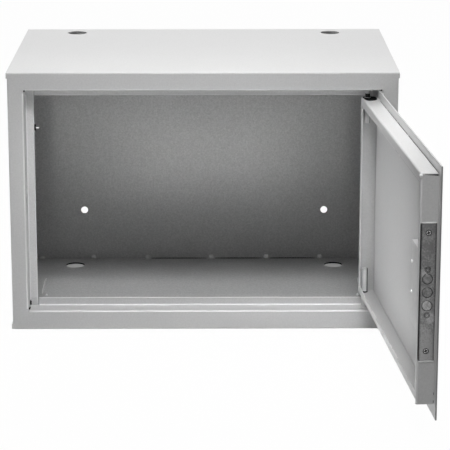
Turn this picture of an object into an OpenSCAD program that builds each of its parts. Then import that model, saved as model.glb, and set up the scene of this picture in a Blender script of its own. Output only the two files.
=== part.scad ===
// Wall cabinet for telecom equipment: a welded sheet-steel box with a flush, right-hung door
// that swings on two pins and closes with a three-bolt lever lock. The door stands open at rest.
// Frame: X to the right, Y to the back, Z up, origin at the middle of the underside.

/* [Body] */
// Width over the side panels
body_w = 600; // [500:10:800]
// Height over the top and bottom panels
body_h = 410; // [390:10:700]
// Depth over the front frame and the back panel
body_d = 410; // [300:10:600]
// Thickness of the body sheet
sheet = 1.5; // [1.2:0.1:2]
// Inside radius of the bends
bend_r = 1; // [0.5:0.1:1.5]
// Height of the turned edges of the top and bottom panels
cap_h = 9; // [6:1:14]

/* [Front frame] */
// Width of the frame at the sides
jamb_w = 25; // [22:1:40]
// Height of the frame at the top
head_h = 28; // [24:1:40]
// Height of the frame at the bottom
sill_h = 30.5; // [26:0.5:40]
// Depth of the rabbet that the door closes into
rabbet_d = 31; // [30:1:60]
// Width of the return at the back of the rabbet
return_w = 12; // [8:0.5:14]
// Gap between the returns where they meet in a corner
return_gap = 2.5; // [1:0.5:6]
// Radius of the relief notch in each corner of the opening
relief_r = 2; // [1:0.5:3]

/* [Door] */
// Angle at which the door stands open
open_angle = 94.6; // [0:0.1:100]
// Thickness of the outer skin
skin_t = 2; // [1.5:0.5:3]
// Gap over the door
top_gap = 2; // [1:0.5:4]
// Gap under the door
low_gap = 1; // [0.5:0.5:4]
// Gap beside the door at the lock
lock_gap = 2.5; // [2.5:0.5:5]
// Gap beside the door at the pivots
hinge_gap = 12.5; // [12:0.5:14]
// Depth of the rails behind the skin
rail_d = 23.5; // [22:0.5:26]
// Width of the inward lip of the top rail and the hinge stile
lip_w = 13; // [8:1:20]
// Width of the inward lip of the lock stile
lock_lip_w = 10; // [8:1:20]
// Width of the inward lip of the bottom rail
low_lip_w = 11; // [8:1:20]
// Gap between the skin and the rails, which stand on short feet
seam = 1; // [0.5:0.1:1.5]
// Gap between the skin and the hinge stile
hinge_seam = 0.3; // [0.2:0.1:0.5]
// Length of a foot
foot_l = 8; // [5:1:12]
// Distance of the first foot from the end of its rail
foot_in = 5; // [4:1:10]
// Spacing of the feet along the top and bottom rails
foot_pitch = 92; // [60:4:108]
// Number of feet on the top and bottom rails
foot_n = 4; // [2:1:4]
// Reach of the skin above the top rail
edge_top = 12; // [6:1:25]
// Reach of the skin below the bottom rail
edge_bottom = 22.5; // [8:0.5:28]
// Reach of the stiles below the bottom rail
stile_drop = 4; // [0:0.5:6]
// Opening at the skin of the joint between the top rail and the lock stile
corner_gap = 2; // [0.5:0.1:3]
// Reach of the skin past the lock stile
edge_lock = 13.5; // [8:0.5:20]
// Reach of the skin past the hinge stile
edge_hinge = 0.5; // [0:0.5:1]

/* [Pivots] */
// Distance of the pivot axis from the right jamb
axis_in = 21; // [21:0.5:24]
// Distance of the pivot axis behind the front face
axis_back = 17.5; // [16:0.5:17.5]
// Diameter of the upper pin
upper_pin_d = 8; // [6:1:10]
// Diameter of the lower pin
lower_pin_d = 10; // [10:1:12]
// Diameter of the end of the lower pin, below its shoulder
spigot_d = 8; // [6:1:8]
// Length of each pin inside the door
pin_in = 40; // [20:1:60]
// Length of each pin past the ledge that it turns in
pin_out = 6; // [3:1:12]
// Radial clearance of the pins in the ledges
pin_clear = 0.1; // [0.05:0.01:0.1]
// Radial clearance of the pins in the rails
pin_seat = 0.05; // [0.01:0.01:0.1]
// Outer diameter of the spacer under the shoulder of the lower pin
spacer_d = 14; // [13:1:20]
// Height of the spacer
spacer_h = 2; // [1:0.5:6]
// Height left free over the spacer
spacer_clear = 0.3; // [0.1:0.1:0.5]

/* [Lock] */
// Height of the middle bolt
lock_z = 206; // [180:1:220]
// Diameter of the bolts
bolt_d = 14; // [12:1:16]
// Spacing of the bolts
bolt_pitch = 18.5; // [18:0.5:19]
// Distance of the bolts behind the outer face of the door
bolt_back = 14.25; // [14:0.25:14.5]
// Travel of the bolts
bolt_throw = 24; // [18:1:25]
// Clearance round the bolts in the faceplate
bolt_clear = 0.3; // [0.2:0.1:0.5]
// Clearance round the bolts in the strike holes
strike_clear = 1; // [0.6:0.1:1.2]
// Chamfer on the tip of each bolt
bolt_chamfer = 0.8; // [0.3:0.1:1.5]
// Length of the faceplate
plate_l = 190; // [170:1:200]
// Thickness of the faceplate
plate_t = 3; // [2.5:0.5:3]
// Depth of the faceplate below the face of the stile
plate_sink = 0.5; // [0.2:0.1:1]
// Clearance round the faceplate in its window
plate_clear = 0.3; // [0.2:0.1:0.5]
// Gap between the faceplate and the lip of the stile
plate_gap = 1.1; // [0.5:0.1:1.5]
// Spacing of the screws that hold the faceplate
screw_span = 163; // [156:1:166]
// Spacing of the screws that hold the case to the faceplate
case_screw_span = 63; // [62:0.5:64]
// Diameter of the screw heads
head_d = 8; // [6:0.5:8]
// Depth of the screw heads in the faceplate
head_t = 1.8; // [1.2:0.1:2]
// Diameter of the screw shanks
shank_d = 4; // [3:0.5:5]
// Radial clearance of the screws
screw_clear = 0.1; // [0.05:0.05:0.2]
// Length of the tabs that carry the faceplate
tab_l = 20; // [18:1:24]
// Height of the lock case
case_l = 114; // [114:1:124]
// Depth of the lock case from the faceplate
case_d = 58; // [57:1:70]
// Thickness of the case sheet
case_sheet = 1.2; // [0.8:0.1:1.2]
// Distance of the case behind the outer face of the door
case_back = 4.5; // [3:0.5:5]

/* [Lock works] */
// Thickness of the carriage that joins the bolts
carriage_t = 3; // [2:0.5:4]
// Width of the carriage
carriage_w = 25; // [20:1:25]
// Height of the carriage above the middle bolt
carriage_up = 33; // [30:1:40]
// Height of the carriage below the middle bolt
carriage_down = 37; // [37:1:38]
// Diameter of the stump that runs in the levers
stump_d = 4; // [3:0.5:4]
// Distance of the stump from the back edge of the carriage
stump_in = 12; // [10:0.5:13]
// Height of the stump above the lower edge of the carriage
stump_up = 2; // [2:0.1:2.2]
// Number of levers
lever_n = 3; // [1:1:3]
// Thickness of a lever
lever_t = 1.4; // [1:0.1:1.4]
// Gap between levers
lever_gap = 0.5; // [0.4:0.1:0.6]
// Length of the levers
lever_l = 50; // [48:1:50]
// Height of the bar of a lever
lever_h = 12.5; // [12:0.1:13]
// Height of the gate in a lever above the bottom of its bar
gate_up = 3.4; // [3:0.1:3.6]
// Height of the gate in a lever
gate_h = 7.2; // [7:0.1:7.4]
// Clearance at the ends of the gate
gate_clear = 2; // [1:0.5:2]
// Diameter of the lever post
post_d = 5; // [4:0.5:5]
// Radius of the eye of a lever
eye_r = 6; // [5:0.5:6]
// Radial clearance of the levers on the post
post_clear = 0.1; // [0.05:0.01:0.1]
// Distance of the keyhole from the lever post
key_in = 26; // [24:0.5:27]
// Depth of the keyhole below the bars of the levers
key_drop = 8; // [7.5:0.5:9]
// Radius of the round part of the keyhole
key_r = 4; // [3:0.5:5]
// Width of the slot of the keyhole
key_slot_w = 3.2; // [2:0.1:5]
// Length of the slot of the keyhole below its centre
key_slot_l = 8; // [5:0.5:9]

// Height of the upper cover rivet above the middle bolt
rivet_up = 28; // [26:1:30]
// Depth of the lower cover rivet below the middle bolt
rivet_down = 14; // [12:1:16]
// Distance of the rivets from the back of the case
rivet_in = 5; // [4.5:0.5:5]
// Side of the tabs that carry the rivets
rivet_tab = 9; // [8:0.5:9]
// Diameter of the rivets
rivet_d = 3; // [2.5:0.5:3]
// Diameter of the rivet heads
rivet_head_d = 4.4; // [4:0.2:5]
// Height of the rivet heads
rivet_head_t = 0.8; // [0.5:0.1:1]
// Width of the slot in the cover
slot_w = 1.2; // [0.8:0.2:2]
// Length of the slot in the cover
slot_l = 6; // [4:1:8]

/* [Cable entries and wall holes] */
// Diameter of the cable entries
entry_d = 32; // [20:1:40]
// Spacing of the entries in the top
top_entry_span = 430; // [200:5:450]
// Spacing of the entries in the bottom
floor_entry_span = 450; // [200:5:450]
// Distance of the entries in the top from the back
top_entry_in = 36; // [24:1:60]
// Distance of the entries in the bottom from the back
floor_entry_in = 44; // [24:1:60]
// Diameter of the wall holes
wall_hole_d = 12; // [8:1:14]
// Horizontal spacing of the wall holes
wall_span = 420; // [200:5:450]
// Height of the lower wall holes, and depth of the upper ones below the top
wall_edge = 90; // [60:5:120]

/* [Earth stud] */
// Distance of the stud behind the front face
stud_y = 250; // [60:5:280]
// Height of the stud
stud_z = 272; // [100:1:350]
// Diameter of the stud
stud_d = 6; // [5:1:8]
// Length of the stud
stud_l = 26; // [22:1:35]
// Distance of the lower washer from the panel
stud_clear = 12; // [5:1:12]
// Outer diameter of the washers
washer_d = 12; // [10:1:16]
// Thickness of a washer
washer_t = 1.6; // [1:0.1:2]
// Width of the nut across its flats
nut_w = 10; // [9:1:13]
// Height of the nut
nut_h = 5; // [4:0.5:6]
// Clearance of the washers and the nut on the stud and between each other
stud_fit = 0.1; // [0.05:0.05:0.3]

/* [Hidden] */
$fn = 64;
bend_steps = 5;
cut = 1;
front = -body_d / 2;
back = body_d / 2;
bend_out = bend_r + sheet;
open_w = body_w - 2 * jamb_w;
open_low = sill_h;
open_high = body_h - head_h;
jamb_x = open_w / 2;
return_x = jamb_x - return_w - return_gap;
axis_x = jamb_x - axis_in;
axis_y = front + axis_back;
// Door coordinates: origin on the pivot axis, the door closed, the free edge towards -X
skin_y = -axis_back;
rail_y = skin_y + skin_t + seam;
lip_y = rail_y + rail_d;
under_lip_y = lip_y - sheet;
skin_hinge_x = axis_in - hinge_gap;
skin_free_x = axis_in + lock_gap - open_w;
skin_low = open_low + low_gap;
skin_high = open_high - top_gap;
rail_low = skin_low + edge_bottom;
rail_high = skin_high - edge_top;
stile_hinge_x = skin_hinge_x - edge_hinge;
stile_free_x = skin_free_x + edge_lock;
rail_l = stile_hinge_x - stile_free_x;
rail_feet = [for (i = [0:foot_n - 1]) foot_in + i * foot_pitch];
stile_low = rail_low - stile_drop;
stile_l = rail_high - sheet - stile_low;
stile_feet = [foot_in, stile_l - foot_in - foot_l];
plate_x = stile_free_x + plate_sink;
plate_in_x = plate_x + plate_t;
window_y = lip_y - bend_out;
plate_y0 = rail_y + plate_clear;
plate_y1 = under_lip_y - plate_gap;
case_y = skin_y + case_back;
cover_y = under_lip_y - case_sheet;
case_x1 = plate_in_x + case_d;
case_z0 = lock_z - case_l / 2;
case_z1 = lock_z + case_l / 2;
bolt_y = skin_y + bolt_back;
bolt_r = bolt_d / 2;
carriage_x1 = case_x1 - case_sheet - 1.3;
carriage_x0 = carriage_x1 - carriage_w;
carriage_z0 = lock_z - carriage_down;
stump_x = carriage_x1 - stump_in;
stump_z = carriage_z0 + stump_up;
lever_y = case_y + case_sheet + lever_gap;
lever_stack = lever_n * (lever_t + lever_gap);
lever_x1 = carriage_x1 - 0.3;
lever_z0 = stump_z - gate_up - gate_h + stump_d / 2 + 0.6;
post_x = lever_x1 - eye_r + 0.8;
post_z = lever_z0 - 5;
key_x = post_x - key_in;
key_z = lever_z0 - key_drop;
shoulder_z = open_low + spacer_h + spacer_clear;
washer_step = washer_t + stud_fit;
rivet_zs = [lock_z + rivet_up, lock_z - rivet_down];
flange_from_bolt = bolt_pitch + bolt_r + 2;
paint = [0.72, 0.73, 0.73];
zinc = [0.55, 0.56, 0.57];
steel = [0.66, 0.67, 0.68];

// Bent sheet: a path of one face, turning square, with the sheet to the left of the way along it
function unit(v) = v / norm(v);
function side(v) = [-v[1], v[0]];
function turn(u, w) = sign(u[0] * w[1] - u[1] * w[0]);
function face_r(u, w, k) = turn(u, w) > 0 ? bend_out - k * sheet : bend_r + k * sheet;
function bend_mid(b, u, w) = b + (w - u) * face_r(u, w, 0);
function bend_at(b, u, w, k, a) = bend_mid(b, u, w) + face_r(u, w, k) * (u * sin(a) - w * cos(a));
function bend_arc(b, u, w, k) = [for (i = [0:bend_steps]) bend_at(b, u, w, k, 90 * i / bend_steps)];
function way(path, i) = unit(path[i + 1] - path[i]);
function face_start(path, k) = path[0] + k * sheet * side(way(path, 0));
function face_end(path, k) = path[len(path) - 1] + k * sheet * side(way(path, len(path) - 2));
function face_bends(path, k) = [for (i = [1:len(path) - 2])
    each bend_arc(path[i], way(path, i - 1), way(path, i), k)];
function face(path, k) = concat([face_start(path, k)], face_bends(path, k), [face_end(path, k)]);
function reverse(list) = [for (i = [len(list) - 1:-1:0]) list[i]];

module bent_sheet(path, length) {
    linear_extrude(length) polygon(concat(face(path, 0), reverse(face(path, 1))));
}

// Panel with a folded front frame: the panel, the frame, the rabbet and its return
function frame_path(frame_w) = [[0, body_d], [0, 0], [frame_w, 0], [frame_w, rabbet_d],
    [frame_w + return_w, rabbet_d]];

// Rail with an inward lip, from its edge at the skin to the lip, and feet across the gap to the skin
module rail_sheet(length, lip, feet, gap) {
    reach = rail_d + seam - gap;
    bent_sheet([[0, reach], [0, 0], [lip, 0]], length);
    for (z = feet) translate([0, reach, z]) cube([sheet, gap, foot_l]);
}

module mirrored_pair() {
    children();
    mirror([1, 0, 0]) children();
}

// Places the door, from closed with its axis at the origin to where it stands open
module at_door() {
    translate([axis_x, axis_y, 0]) rotate([0, 0, open_angle]) children();
}

module bore_x(x, y, z, r, length) {
    translate([x, y, z]) rotate([0, 90, 0]) cylinder(r = r, h = length);
}

module bore_y(x, y, z, r, length) {
    translate([x, y, z]) rotate([-90, 0, 0]) cylinder(r = r, h = length);
}

// Top or bottom panel, drawn as a top panel with its outer face at Z = 0
module cap_panel(frame_h, entry_span, entry_in, pin_d) {
    cap_x = body_w / 2 + sheet;
    difference() {
        union() {
            translate([-cap_x, front, 0]) rotate([0, 90, 0]) bent_sheet(frame_path(frame_h), 2 * cap_x);
            mirrored_pair()
                translate([body_w / 2, front + bend_out, -cap_h]) cube([sheet, body_d - bend_out, cap_h]);
        }
        mirrored_pair() {
            // Past the opening only the narrow turned edge is left
            translate([jamb_x, front - cut, -body_h])
                cube([body_w, bend_out + cut, body_h - cap_h]);
            translate([jamb_x + sheet, front + bend_out, -body_h])
                cube([body_w, rabbet_d + bend_out, body_h - cap_h]);
            translate([return_x, front + bend_out, -body_h])
                cube([body_w, rabbet_d + bend_out, body_h - frame_h]);
            translate([entry_span / 2, back - entry_in, -sheet - cut])
                cylinder(d = entry_d, h = sheet + 2 * cut);
            bore_y(jamb_x, front - cut, -frame_h, relief_r, bend_out + cut);
        }
        translate([axis_x, axis_y, -frame_h - cut])
            cylinder(r = pin_d / 2 + pin_clear, h = sheet + 2 * cut);
    }
}

module top_panel() {
    color(paint) translate([0, 0, body_h]) cap_panel(head_h, top_entry_span, top_entry_in, upper_pin_d);
}

module bottom_panel() {
    color(paint) mirror([0, 0, 1]) cap_panel(sill_h, floor_entry_span, floor_entry_in, spigot_d);
}

// Side panel, drawn on the left: the folded jamb between the head and the sill, flat tabs past them
module side_panel() {
    translate([-body_w / 2, front, open_low]) bent_sheet(frame_path(jamb_w), open_high - open_low);
    for (span = [[cap_h, open_low], [open_high, body_h - cap_h]])
        translate([-body_w / 2, front, span[0]])
            bent_sheet([[0, body_d], [0, 0], [jamb_w, 0]], span[1] - span[0]);
    for (z = [sheet, body_h - cap_h])
        translate([-body_w / 2, front + bend_out, z])
            cube([sheet, body_d - bend_out, cap_h - sheet]);
}

module left_side_panel() {
    color(paint) difference() {
        side_panel();
        for (i = [-1:1])
            bore_x(-jamb_x - sheet - cut, front + bolt_back, lock_z + i * bolt_pitch,
                bolt_r + strike_clear, sheet + 2 * cut);
    }
}

module right_side_panel() {
    color(paint) mirror([1, 0, 0]) side_panel();
}

module back_panel() {
    color(paint) difference() {
        translate([-body_w / 2 + sheet, back - sheet, sheet])
            cube([body_w - 2 * sheet, sheet, body_h - 2 * sheet]);
        for (x = [-wall_span / 2, wall_span / 2], z = [wall_edge, body_h - wall_edge])
            bore_y(x, back - sheet - cut, z, wall_hole_d / 2, sheet + 2 * cut);
    }
}

// The earth stud stands on the left side panel
module at_stud() {
    translate([-body_w / 2 + sheet, front + stud_y, stud_z]) rotate([0, 90, 0]) children();
}

module stud_ring(z, height) {
    translate([0, 0, z]) difference() {
        children();
        translate([0, 0, -cut]) cylinder(r = stud_d / 2 + stud_fit, h = height + 2 * cut);
    }
}

module earth_stud() {
    color(steel) at_stud() cylinder(d = stud_d, h = stud_l);
}

module earth_washers() {
    color(steel) at_stud() for (i = [0:1])
        stud_ring(stud_clear + i * washer_step, washer_t) cylinder(d = washer_d, h = washer_t);
}

module earth_nut() {
    color(steel) at_stud() stud_ring(stud_clear + 2 * washer_step, nut_h)
        cylinder(d = nut_w / cos(30), h = nut_h, $fn = 6);
}

module pivot_spacer() {
    color(steel) translate([axis_x, axis_y, open_low]) difference() {
        cylinder(d = spacer_d, h = spacer_h);
        translate([0, 0, -cut]) cylinder(r = spigot_d / 2 + pin_clear, h = spacer_h + 2 * cut);
    }
}

module keyhole(y, depth) {
    bore_y(key_x, y, key_z, key_r, depth);
    translate([key_x - key_slot_w / 2, y, key_z - key_slot_l]) cube([key_slot_w, depth, key_slot_l]);
}

module door_skin() {
    color(paint) at_door() difference() {
        translate([skin_free_x, skin_y, skin_low])
            cube([skin_hinge_x - skin_free_x, skin_t, skin_high - skin_low]);
        keyhole(skin_y - cut, skin_t + 2 * cut);
    }
}

// Rail, drawn as a top rail with its outer face at Z = 0; its lip stops short of the stiles
module door_rail(lip, pin_d) {
    difference() {
        translate([stile_hinge_x, lip_y, 0]) rotate([180, 90, 0]) rail_sheet(rail_l, lip, rail_feet, seam);
        for (x = [stile_free_x - cut, stile_hinge_x - bend_out])
            translate([x, rail_y - cut, -lip - cut])
                cube([bend_out + cut, rail_d + 2 * cut, lip + cut - sheet]);
        translate([0, 0, -sheet - cut]) cylinder(r = pin_d / 2 + pin_seat, h = sheet + 2 * cut);
    }
}

module door_top_rail() {
    color(paint) at_door() translate([0, 0, rail_high]) door_rail(lip_w, upper_pin_d);
}

// Bottom rail, set between the walls and the bends of the stiles, which run down past it
module door_bottom_rail() {
    color(paint) at_door() difference() {
        translate([0, 0, rail_low]) mirror([0, 0, 1]) door_rail(low_lip_w, lower_pin_d);
        for (x = [stile_free_x - cut, stile_hinge_x - sheet])
            translate([x, rail_y - cut, rail_low - cut]) cube([sheet + cut, rail_d + 2 * cut, sheet + 2 * cut]);
        for (x = [stile_free_x - cut, stile_hinge_x - bend_out])
            translate([x, window_y, rail_low - cut]) cube([bend_out + cut, bend_out + cut, sheet + 2 * cut]);
    }
}

// Stile under the top rail and past the bottom rail; its lip stops at theirs
module door_stile(lip, gap) {
    lip_low = rail_low + low_lip_w;
    lip_high = rail_high - lip_w;
    difference() {
        translate([0, 0, stile_low]) rail_sheet(stile_l, lip, stile_feet, gap);
        translate([bend_out, -cut, stile_low - cut])
            cube([lip, bend_out + cut, lip_low - stile_low + cut]);
        translate([bend_out, -cut, lip_high]) cube([lip, bend_out + cut, lip_w]);
    }
}

module door_hinge_stile() {
    color(paint) at_door() translate([stile_hinge_x, lip_y, 0]) rotate([0, 0, 180]) door_stile(lip_w, hinge_seam);
}

// Tab at an end of the lock window, set back by the faceplate and joined to the wall by a step
module plate_tab(up) {
    z_end = lock_z + up * plate_l / 2;
    difference() {
        union() {
            translate([plate_in_x, rail_y, up > 0 ? z_end - tab_l : z_end])
                cube([sheet, plate_y1 - rail_y, tab_l]);
            translate([stile_free_x, rail_y, up > 0 ? z_end : z_end - sheet])
                cube([plate_in_x + sheet - stile_free_x, plate_y1 - rail_y, sheet]);
        }
        bore_x(plate_in_x - cut, bolt_y, lock_z + up * screw_span / 2, shank_d / 2 + screw_clear,
            sheet + 2 * cut);
    }
}

module door_lock_stile() {
    color(paint) at_door() {
        difference() {
            translate([stile_free_x, lip_y, 0]) mirror([0, 1, 0]) door_stile(lock_lip_w, seam);
            // The lock window takes the wall and its bend, and leaves the lip
            translate([stile_free_x - cut, rail_y - cut, lock_z - plate_l / 2])
                cube([bend_out + cut, rail_d + 2 * cut, plate_l]);
            // The joint under the top rail opens towards the skin
            translate([stile_free_x - cut, 0, rail_high - sheet]) rotate([90, 0, 90])
                linear_extrude(sheet + 2 * cut)
                    polygon([[window_y, 0], [rail_y, -corner_gap], [rail_y, cut], [window_y, cut]]);
        }
        for (up = [-1, 1]) plate_tab(up);
    }
}

module upper_pivot_pin() {
    color(paint) at_door() translate([0, 0, rail_high - pin_in])
        cylinder(d = upper_pin_d, h = open_high + sheet + pin_out - rail_high + pin_in);
}

module lower_pivot_pin() {
    color(paint) at_door() {
        translate([0, 0, shoulder_z]) cylinder(d = lower_pin_d, h = rail_low + pin_in - shoulder_z);
        translate([0, 0, open_low - sheet - pin_out])
            cylinder(d = spigot_d, h = shoulder_z - open_low + sheet + pin_out);
    }
}

module lock_faceplate() {
    color(zinc) at_door() difference() {
        translate([plate_x, plate_y0, lock_z - plate_l / 2 + plate_clear])
            cube([plate_t, plate_y1 - plate_y0, plate_l - 2 * plate_clear]);
        for (i = [-1:1])
            bore_x(plate_x - cut, bolt_y, lock_z + i * bolt_pitch, bolt_r + bolt_clear, plate_t + 2 * cut);
        for (span = [screw_span, case_screw_span], up = [-1, 1]) {
            bore_x(plate_x - cut, bolt_y, lock_z + up * span / 2, head_d / 2 + screw_clear, head_t + cut);
            bore_x(plate_x, bolt_y, lock_z + up * span / 2, shank_d / 2 + screw_clear, plate_t + cut);
        }
    }
}

module plate_screws(span, grip) {
    for (up = [-1, 1]) {
        bore_x(plate_x, bolt_y, lock_z + up * span / 2, head_d / 2, head_t);
        bore_x(plate_x, bolt_y, lock_z + up * span / 2, shank_d / 2, plate_t + grip);
    }
}

module faceplate_screws() {
    color(steel) at_door() plate_screws(screw_span, 2 * sheet);
}

module case_screws() {
    color(steel) at_door() plate_screws(case_screw_span, 2 * case_sheet);
}

// Open tray against the faceplate, with a front flange above and below the bolts and two rivet tabs
module lock_case() {
    depth = cover_y - case_y;
    flange_l = case_l / 2 - flange_from_bolt;
    color(zinc) at_door() difference() {
        union() {
            translate([plate_in_x, case_y, case_z0]) cube([case_d, case_sheet, case_l]);
            for (z = [case_z0, case_z1 - case_sheet])
                translate([plate_in_x, case_y, z]) cube([case_d, depth, case_sheet]);
            translate([case_x1 - case_sheet, case_y, case_z0]) cube([case_sheet, depth, case_l]);
            for (z = [case_z0, case_z1 - flange_l])
                translate([plate_in_x, case_y, z]) cube([case_sheet, depth, flange_l]);
            for (z = rivet_zs)
                translate([case_x1 - rivet_tab, cover_y - case_sheet, z - rivet_tab / 2])
                    cube([rivet_tab, case_sheet, rivet_tab]);
        }
        keyhole(case_y - cut, case_sheet + 2 * cut);
        for (up = [-1, 1])
            bore_x(plate_in_x - cut, bolt_y, lock_z + up * case_screw_span / 2, shank_d / 2 + screw_clear,
                case_sheet + 2 * cut);
        for (z = rivet_zs)
            bore_y(case_x1 - rivet_in, cover_y - case_sheet - cut, z, rivet_d / 2, case_sheet + 2 * cut);
    }
}

module lock_cover() {
    color(zinc) at_door() difference() {
        translate([plate_in_x, cover_y, case_z0]) cube([case_d, case_sheet, case_l]);
        for (z = rivet_zs)
            bore_y(case_x1 - rivet_in, cover_y - cut, z, rivet_d / 2, case_sheet + 2 * cut);
        translate([case_x1 - rivet_in - slot_w / 2, cover_y - cut, (rivet_zs[0] + rivet_zs[1] - slot_l) / 2])
            cube([slot_w, case_sheet + 2 * cut, slot_l]);
    }
}

module cover_rivets() {
    color(steel) at_door() for (z = rivet_zs) {
        bore_y(case_x1 - rivet_in, cover_y - case_sheet, z, rivet_d / 2, 2 * case_sheet);
        bore_y(case_x1 - rivet_in, cover_y + case_sheet, z, rivet_head_d / 2, rivet_head_t);
    }
}

module lever_post() {
    color(steel) at_door()
        bore_y(post_x, case_y + case_sheet, post_z, post_d / 2, cover_y - case_y - case_sheet);
}

// Lever: a bar with a gate for the stump, and an eye on the post
module lever_outline() {
    gate_x0 = stump_x - bolt_throw - stump_d / 2 - gate_clear;
    gate_x1 = stump_x + stump_d / 2 + gate_clear;
    difference() {
        union() {
            translate([lever_x1 - lever_l, lever_z0]) square([lever_l, lever_h]);
            translate([post_x, post_z]) circle(r = eye_r);
        }
        translate([gate_x0, lever_z0 + gate_up]) square([gate_x1 - gate_x0, gate_h]);
        translate([post_x, post_z]) circle(r = post_d / 2 + post_clear);
    }
}

module levers() {
    color("darkgoldenrod") at_door() for (i = [0:lever_n - 1])
        translate([0, lever_y + i * (lever_t + lever_gap) + lever_t, 0])
            rotate([90, 0, 0]) linear_extrude(lever_t) lever_outline();
}

module bolt_carriage() {
    color(steel) at_door() translate([carriage_x0, bolt_y - carriage_t / 2, carriage_z0])
        cube([carriage_w, carriage_t, carriage_down + carriage_up]);
}

module bolt_stump() {
    color(steel) at_door() bore_y(stump_x, lever_y, stump_z, stump_d / 2, bolt_y - carriage_t / 2 - lever_y);
}

// Bolt with a chamfered tip, flush with the faceplate
module lock_bolt(z) {
    color(steel) at_door() translate([plate_x, bolt_y, z]) rotate([0, 90, 0]) rotate_extrude()
        polygon([[0, 0], [bolt_r - bolt_chamfer, 0], [bolt_r, bolt_chamfer],
            [bolt_r, carriage_x0 - plate_x], [0, carriage_x0 - plate_x]]);
}

module upper_bolt() {
    lock_bolt(lock_z + bolt_pitch);
}

module middle_bolt() {
    lock_bolt(lock_z);
}

module lower_bolt() {
    lock_bolt(lock_z - bolt_pitch);
}

top_panel();
bottom_panel();
left_side_panel();
right_side_panel();
back_panel();
earth_stud();
earth_washers();
earth_nut();
pivot_spacer();
door_skin();
door_top_rail();
door_bottom_rail();
door_hinge_stile();
door_lock_stile();
upper_pivot_pin();
lower_pivot_pin();
lock_faceplate();
faceplate_screws();
case_screws();
lock_case();
lock_cover();
cover_rivets();
lever_post();
levers();
bolt_carriage();
bolt_stump();
upper_bolt();
middle_bolt();
lower_bolt();
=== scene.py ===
import math

import bmesh
import bpy
from mathutils import Matrix, Vector, noise


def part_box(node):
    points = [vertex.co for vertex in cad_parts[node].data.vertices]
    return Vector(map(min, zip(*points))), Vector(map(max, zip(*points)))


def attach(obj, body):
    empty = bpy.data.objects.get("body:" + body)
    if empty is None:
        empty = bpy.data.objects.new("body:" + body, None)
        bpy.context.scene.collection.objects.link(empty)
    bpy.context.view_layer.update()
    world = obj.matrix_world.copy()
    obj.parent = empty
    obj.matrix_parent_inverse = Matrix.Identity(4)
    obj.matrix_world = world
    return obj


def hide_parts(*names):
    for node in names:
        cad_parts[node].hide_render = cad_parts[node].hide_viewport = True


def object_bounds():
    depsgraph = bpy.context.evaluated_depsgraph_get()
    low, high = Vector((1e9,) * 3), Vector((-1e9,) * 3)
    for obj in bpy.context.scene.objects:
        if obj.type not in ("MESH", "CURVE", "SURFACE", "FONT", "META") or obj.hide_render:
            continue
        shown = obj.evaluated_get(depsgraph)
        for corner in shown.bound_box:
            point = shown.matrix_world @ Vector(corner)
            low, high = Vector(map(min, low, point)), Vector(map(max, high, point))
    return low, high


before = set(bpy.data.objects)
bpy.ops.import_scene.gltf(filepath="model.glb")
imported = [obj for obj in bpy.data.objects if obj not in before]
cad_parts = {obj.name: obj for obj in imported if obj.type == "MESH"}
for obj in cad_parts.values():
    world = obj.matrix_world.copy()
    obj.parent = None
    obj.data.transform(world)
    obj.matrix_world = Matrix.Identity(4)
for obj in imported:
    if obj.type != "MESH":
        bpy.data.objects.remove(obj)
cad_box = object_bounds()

# Camera: a long lens a little above the cabinet and straight in front of it, tilted down.
# The lens axis meets the picture above its middle, hence the small shift.
camera = bpy.data.objects.new("camera", bpy.data.cameras.new("camera"))
bpy.context.collection.objects.link(camera)
camera.location = (0.0141, -3.3318, 0.9903)
camera.rotation_euler = (math.radians(90 - 14.02), 0, math.radians(-0.363))
camera.data.sensor_width = 36
camera.data.lens = 166.14
camera.data.shift_y = -0.0556
camera.data.clip_start = 0.05
camera.data.clip_end = 60
bpy.context.scene.camera = camera
bpy.context.scene.view_settings.view_transform = "Standard"

# Studio: white paper under the cabinet, lit by soft boxes above, behind and high in front, one on the left
# for the door and two narrow ones for the inside. Paper and sky read as white in the picture and in
# reflections; under the cabinet the paper carries painted shade, with a painted pool of light under each
# cable entry.
def new_finish(name):
    material = bpy.data.materials.new(name)
    material.use_nodes = True
    material.node_tree.nodes.clear()
    return material, material.node_tree


def reckon(tree, operation, *values):
    step = tree.nodes.new("ShaderNodeMath")
    step.operation = operation
    for socket, value in zip(step.inputs, values):
        if isinstance(value, (int, float)):
            socket.default_value = value
        else:
            tree.links.new(value, socket)
    return step.outputs[0]


def seen_rays(tree):
    rays = tree.nodes.new("ShaderNodeLightPath").outputs
    mirrored = reckon(tree, "MAXIMUM", rays["Is Glossy Ray"], rays["Is Transmission Ray"])
    return reckon(tree, "MAXIMUM", rays["Is Camera Ray"], mirrored)


def object_place(tree):
    place = tree.nodes.new("ShaderNodeTexCoord").outputs["Object"]
    axes = tree.nodes.new("ShaderNodeSeparateXYZ")
    tree.links.new(place, axes.inputs[0])
    return place, axes.outputs["X"], axes.outputs["Y"], axes.outputs["Z"]


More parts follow.
